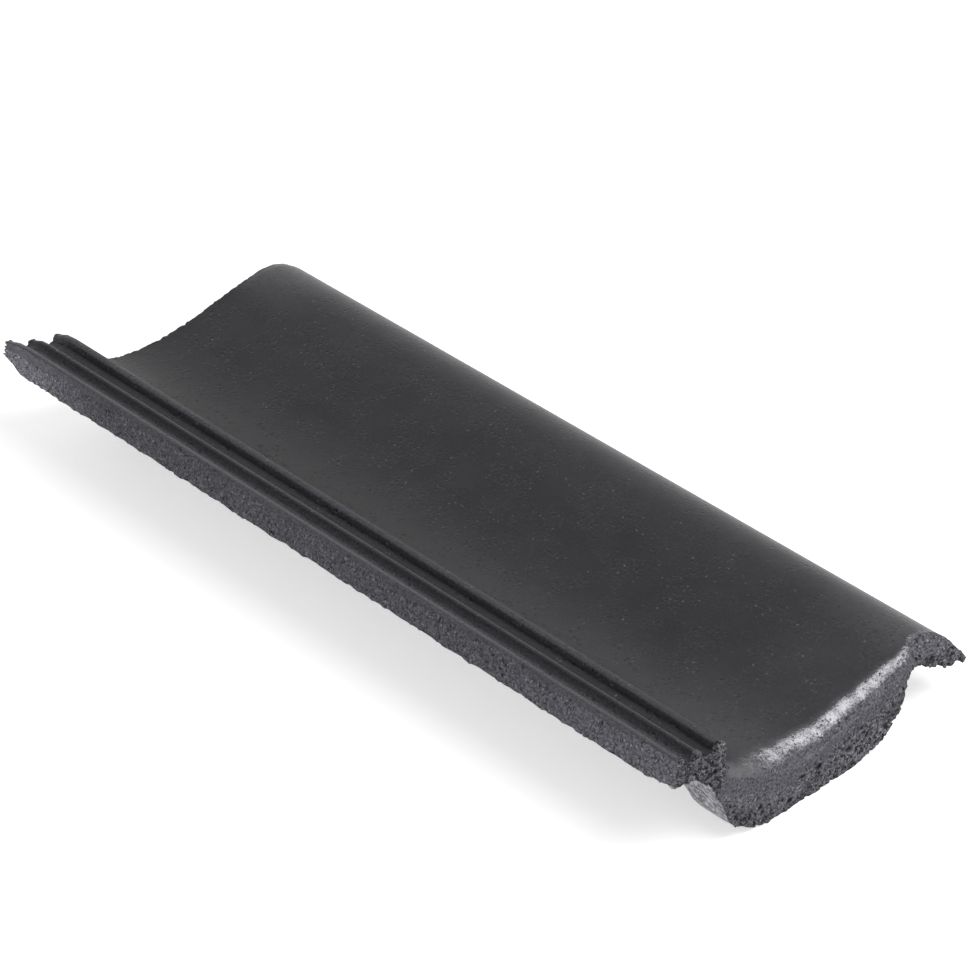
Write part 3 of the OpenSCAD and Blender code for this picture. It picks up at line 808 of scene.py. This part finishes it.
# The bright mark scales the colour with painted light and shade.
lighter = calc("ADD", mark("painted_light_shade"), 1.0)
colour = vector("SCALE", {0: mix(coat_mask, bare, top_colour), 3: lighter})
rough = blend(coat_mask, TORN_ROUGH, blend(wear_highlight_mask, COAT_ROUGH, WORN_ROUGH))
top_height = calc("MULTIPLY", noise_at(1.4, 3), blend(cluster, 0.2, 0.45))
top_height = calc("SUBTRACT", top_height, calc("MULTIPLY", dimple, 0.5))
top_height = calc("ADD", top_height, calc("MULTIPLY", speck, 0.25))
top_height = calc("SUBTRACT", top_height, calc("MULTIPLY", pinhole, 0.6))
top_height = calc("ADD", top_height, calc("MULTIPLY", calc("MULTIPLY", dust, wear_highlight_mask), 0.5))
torn_height = calc("SUBTRACT", calc("MULTIPLY", grains, 1.3), calc("MULTIPLY", small_pore, 1.2))
torn_height = calc("ADD", torn_height, calc("MULTIPLY", sand, 0.5))
torn_height = calc("MULTIPLY", torn_height, ramp(mark("coarse"), 0.3, 1.2, 0.9, 1.8))
height = blend(coat_mask, torn_height, top_height)
bump = node("ShaderNodeBump", {"Strength": 1.0, "Distance": GRAIN_DEPTH, "Height": height})
shader = node(
    "ShaderNodeBsdfPrincipled",
    {
        "Base Color": colour,
        "Roughness": rough,
        "Specular IOR Level": 0.27,
        "Specular Tint": (0.97, 0.95, 1.0, 1),
        "Normal": bump.outputs["Normal"],
    },
)
node("ShaderNodeOutputMaterial", {"Surface": shader.outputs["BSDF"]})
mesh.materials.clear()
mesh.materials.append(concrete)
print("material nodes:", len(tree.nodes))

# %% [markdown]
# The tile lies on a plain white sheet. More light would make it white too, but it would
# also wash out the tile, so the paper glows a little, only to the camera and in
# reflections, and it keeps the tile's shadow.

# %% Lay the floor
FLOOR_HALF = 6
PAPER_GREY, PAPER_GLOW = 0.82, 0.55

floor_bm = bmesh.new()
bmesh.ops.create_grid(floor_bm, x_segments=1, y_segments=1, size=FLOOR_HALF)
floor_mesh = bpy.data.meshes.new("floor")
floor_bm.to_mesh(floor_mesh)
floor_bm.free()
floor = bpy.data.objects.new("floor", floor_mesh)
bpy.context.collection.objects.link(floor)
paper = bpy.data.materials.new("white_paper")
paper.use_nodes = True
tree = paper.node_tree
tree.nodes.clear()
paper_diffuse = node("ShaderNodeBsdfDiffuse", {"Color": grey(PAPER_GREY, 0)})
rays = node("ShaderNodeLightPath")
mirrored = calc("MAXIMUM", rays.outputs["Is Glossy Ray"], rays.outputs["Is Transmission Ray"])
seen = calc("MAXIMUM", rays.outputs["Is Camera Ray"], mirrored)
strength = calc("MULTIPLY", seen, PAPER_GLOW)
glow = node("ShaderNodeEmission", {"Color": grey(1.0, 0), "Strength": strength})
paper_sum = node("ShaderNodeAddShader", {0: paper_diffuse.outputs[0], 1: glow.outputs[0]})
node("ShaderNodeOutputMaterial", {"Surface": paper_sum.outputs[0]})
floor_mesh.materials.append(paper)
print("floor reaches", max(v.co.x for v in floor_mesh.vertices), "metres from the middle")

# %% [markdown]
# A white surround lights the tile evenly from all sides, at half the level at which the
# camera sees it. One softbox, high in front, shapes the rounded nose. A second one
# would only flatten it again.

# %% Light the studio
SURROUND_LIGHT, SURROUND_SEEN = 0.5, 1.0
SOFTBOX_PLACE, SOFTBOX_AIM = (0.15, -1.1, 1.6), (0, -0.2, 0)
SOFTBOX_SIZE, SOFTBOX_WATTS = (1.4, 0.7), 22

world = bpy.data.worlds.new("studio")
bpy.context.scene.world = world
world.use_nodes = True
tree = world.node_tree
tree.nodes.clear()
path = node("ShaderNodeLightPath")
strength = blend(path.outputs["Is Camera Ray"], SURROUND_LIGHT, SURROUND_SEEN)
reflected = calc("MAXIMUM", path.outputs["Is Glossy Ray"], path.outputs["Is Transmission Ray"])
strength = blend(reflected, strength, SURROUND_SEEN)
sky = node("ShaderNodeBackground", {"Color": grey(1.0, 0), "Strength": strength})
node("ShaderNodeOutputWorld", {"Surface": sky.outputs[0]})
lamp = bpy.data.lights.new("nose_light", "AREA")
lamp.shape = "RECTANGLE"
lamp.size, lamp.size_y = SOFTBOX_SIZE
lamp.energy = SOFTBOX_WATTS
softbox = bpy.data.objects.new("nose_light", lamp)
softbox.location = SOFTBOX_PLACE
aim = Vector(SOFTBOX_AIM) - Vector(SOFTBOX_PLACE)
softbox.rotation_euler = aim.to_track_quat("-Z", "Y").to_euler()
bpy.context.collection.objects.link(softbox)
bpy.context.scene.view_settings.view_transform = "Standard"
